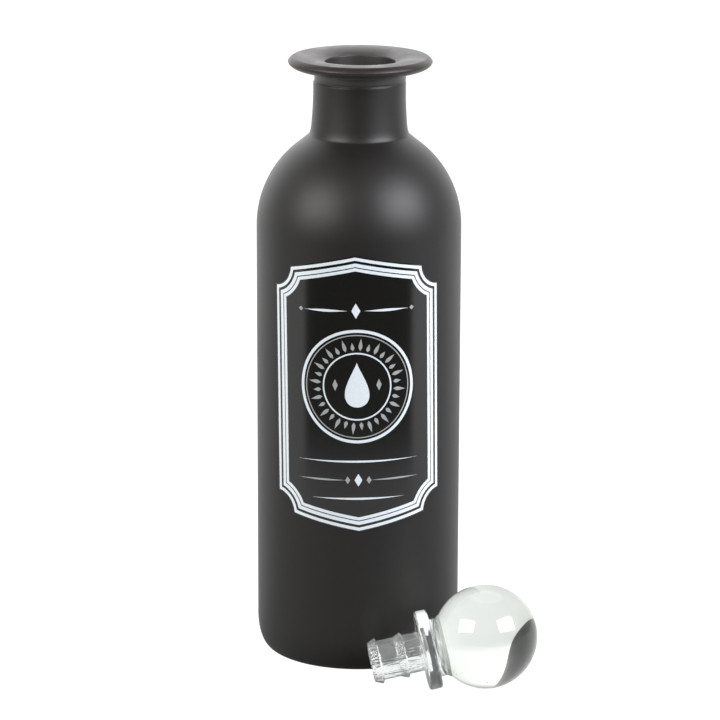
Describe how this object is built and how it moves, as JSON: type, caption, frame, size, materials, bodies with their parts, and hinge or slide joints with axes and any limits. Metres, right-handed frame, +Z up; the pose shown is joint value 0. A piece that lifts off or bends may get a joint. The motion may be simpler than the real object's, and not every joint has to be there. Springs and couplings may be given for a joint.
{
  "type": "potion bottle",
  "caption": "Round satin black glass bottle with a domed shoulder, flared lip and plaque-shaped front label, and a clear barbed stopper with a glass ball lying in front of it.",
  "frame": {"origin": "on the bottle's axis, on the plane of its standing ring", "axes": "+Z up along the bottle's axis, -Y out of the label, +X to the right as the label is read"},
  "size_m": [0.0953, 0.0992, 0.207],
  "materials": {
    "bottle_glass": "glass with an opaque satin black coat",
    "label_film": "gloss black film with a white and silver print",
    "stopper_plastic": "clear moulded plastic",
    "stopper_glass": "clear polished glass with a slight green tint",
    "adhesive": "cured clear adhesive, pale green at its edge"
  },
  "bodies": {
    "bottle": {"bottle": "bottle_glass", "front_label": "label_film"},
    "stopper": {"stopper_plug": "stopper_plastic", "ball_adhesive": "adhesive", "stopper_ball": "stopper_glass"}
  },
  "joints": [
    {"name": "stopper_lift", "type": "slide", "parent": "bottle", "child": "stopper", "axis": [0, 0, 1], "range_m": [0, 0.215]}
  ]
}
